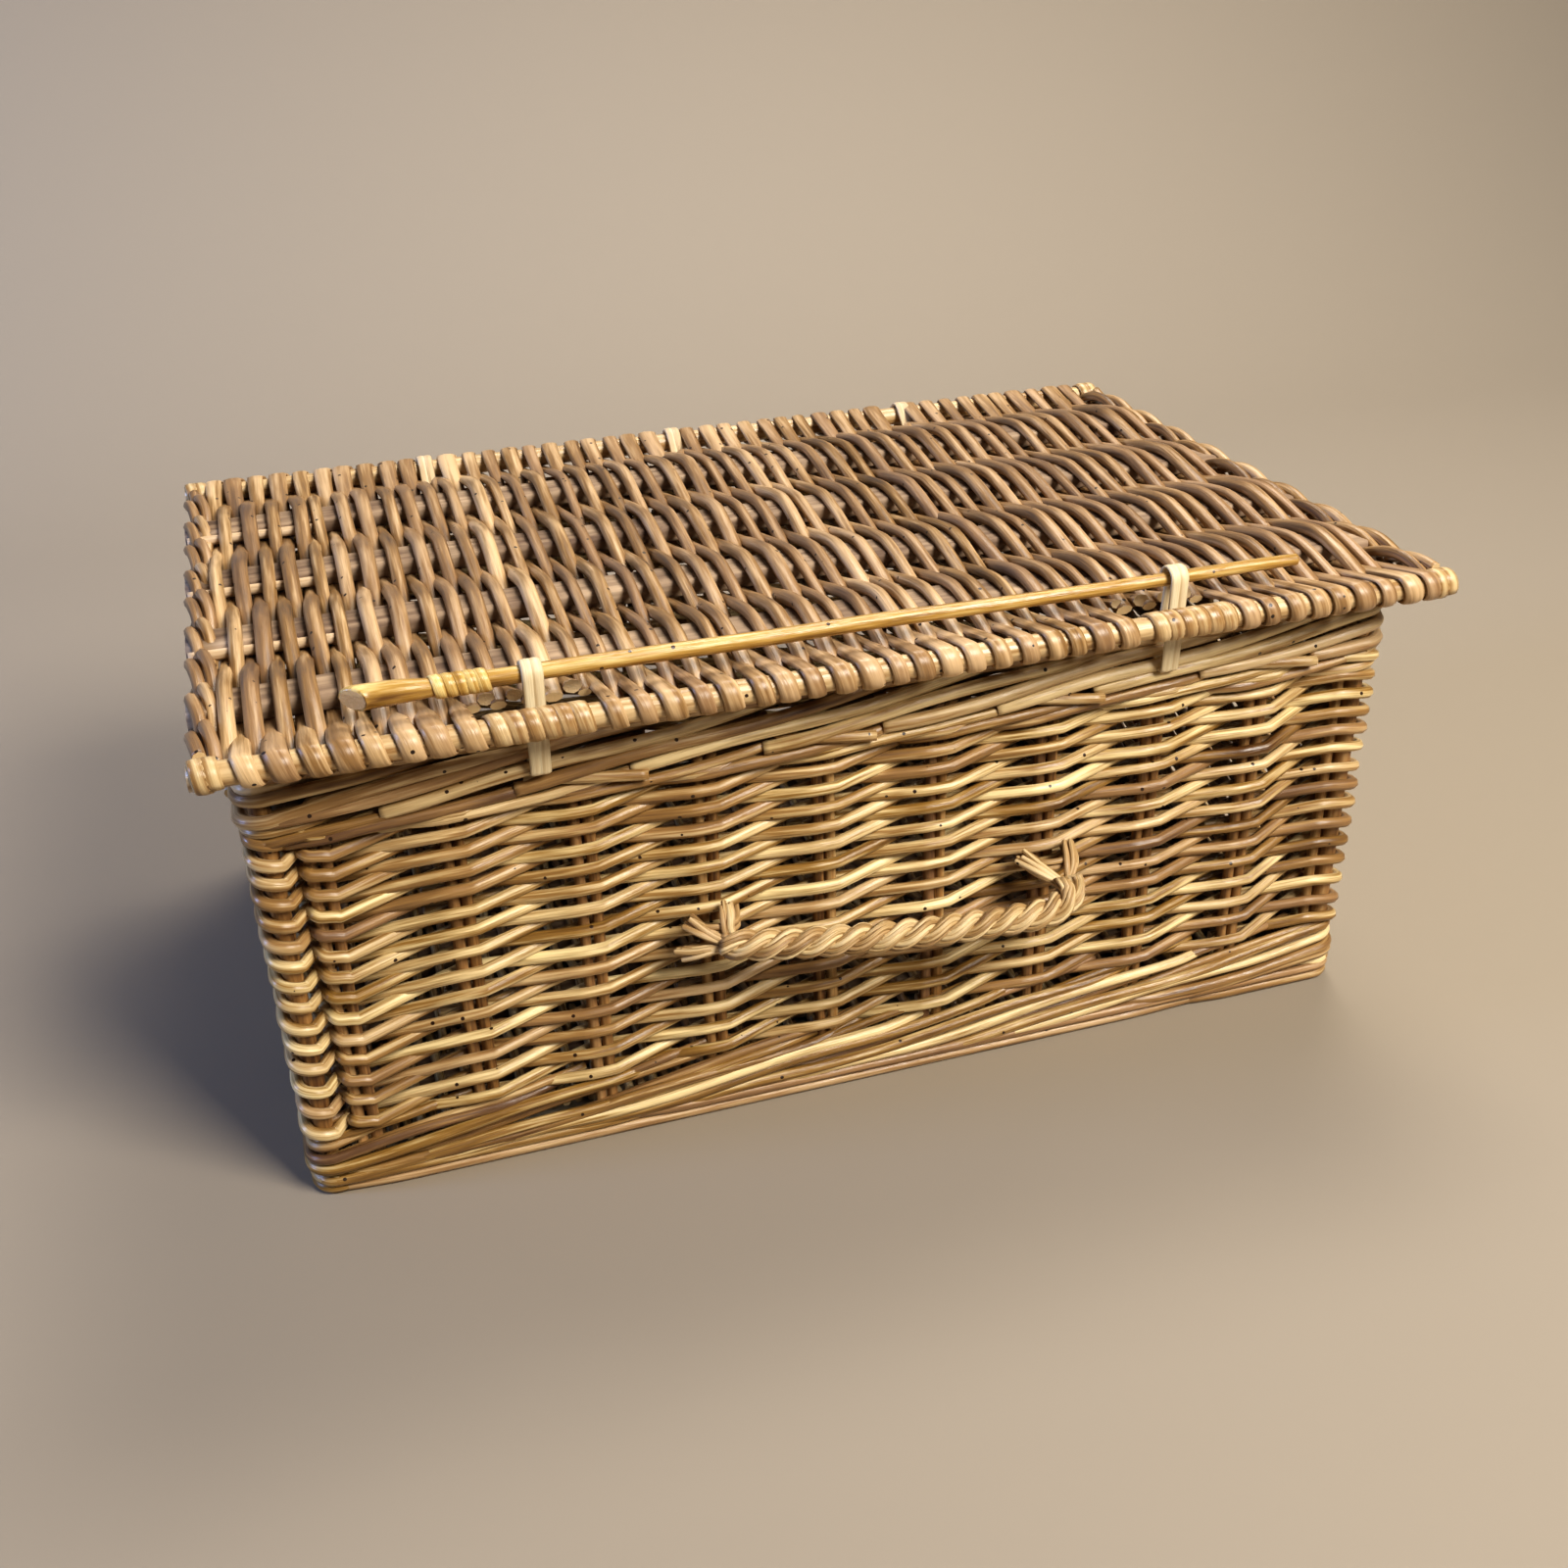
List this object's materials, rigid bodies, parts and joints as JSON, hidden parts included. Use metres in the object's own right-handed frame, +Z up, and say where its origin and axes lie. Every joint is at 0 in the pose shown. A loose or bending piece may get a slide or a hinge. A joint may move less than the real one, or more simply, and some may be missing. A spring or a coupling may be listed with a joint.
{
  "type": "laundry hamper with lid",
  "caption": "Rectangular woven willow hamper with a hinged woven lid, hasp loops closed by a sliding rod, and a twisted willow handle on the front wall.",
  "frame": {"origin": "centre of the underside of the base, on the surface the hamper stands on", "axes": "+X along the length, to the right as seen from the front; -Y out of the front wall with the handle; +Z up"},
  "size_m": [0.54, 0.3696, 0.2438],
  "materials": {
    "woven_willow": "golden tan willow rods, satin, with small dark nodes and pale highlights",
    "lid_willow": "weathered golden willow rods, grey-brown towards the tips",
    "slat_wood": "flat weathered grey-brown slats, dull, with fine grain along their length",
    "stake_willow": "darker brown willow uprights and lid rods, satin",
    "pale_willow": "peeled pale cane and skein, matt",
    "rope_willow": "straw-coloured twisted willow, fibrous, matt with a slight sheen",
    "rod_bark": "polished yellow-brown bark with faint bands at the nodes"
  },
  "bodies": {
    "basket": {"base_weave": "woven_willow", "base_slat_1": "slat_wood", "base_slat_2": "slat_wood", "base_slat_3": "slat_wood", "base_slat_4": "slat_wood", "base_slat_5": "slat_wood", "foot_wale": "woven_willow", "siding": "woven_willow", "top_wale": "woven_willow", "border": "woven_willow", "corner_post_front_left": "stake_willow", "corner_post_front_right": "stake_willow", "corner_post_back_left": "stake_willow", "corner_post_back_right": "stake_willow", "front_stakes": "stake_willow", "back_stakes": "stake_willow", "left_stakes": "stake_willow", "right_stakes": "stake_willow", "hinge_ring_1": "pale_willow", "hinge_ring_2": "pale_willow", "hinge_ring_3": "pale_willow", "hasp_loop_left": "pale_willow", "hasp_loop_right": "pale_willow", "handle_staple_left": "pale_willow", "handle_staple_right": "pale_willow"},
    "lid": {"lid_weave": "lid_willow", "lid_rod_front": "stake_willow", "lid_rod_back": "stake_willow", "lid_slat_1": "slat_wood", "lid_slat_2": "slat_wood", "lid_slat_3": "slat_wood", "lid_slat_4": "slat_wood", "packing_rod_1": "pale_willow", "packing_rod_2": "pale_willow", "packing_rod_3": "pale_willow", "lid_end_pairing_left": "lid_willow", "lid_end_pairing_right": "lid_willow", "corner_tie_front_left": "pale_willow", "corner_tie_front_right": "pale_willow", "corner_tie_back_left": "pale_willow", "corner_tie_back_right": "pale_willow", "whipping_left": "woven_willow", "whipping_right": "woven_willow"},
    "handle": {"handle_rope": "rope_willow"},
    "closing_rod": {"closing_rod": "rod_bark", "grip_binding": "pale_willow"}
  },
  "joints": [
    {"name": "lid_open", "type": "hinge", "parent": "basket", "child": "lid", "pos_m": [0, 0.1642, 0.222], "axis": [-1, 0, 0], "range_deg": [0, 110]},
    {"name": "rod_slide", "type": "slide", "parent": "basket", "child": "closing_rod", "axis": [-1, 0, 0], "range_m": [0, 0.345]},
    {"name": "handle_swing", "type": "hinge", "parent": "basket", "child": "handle", "pos_m": [0, -0.173, 0.107], "axis": [-1, 0, 0], "range_deg": [-45, 90]}
  ]
}
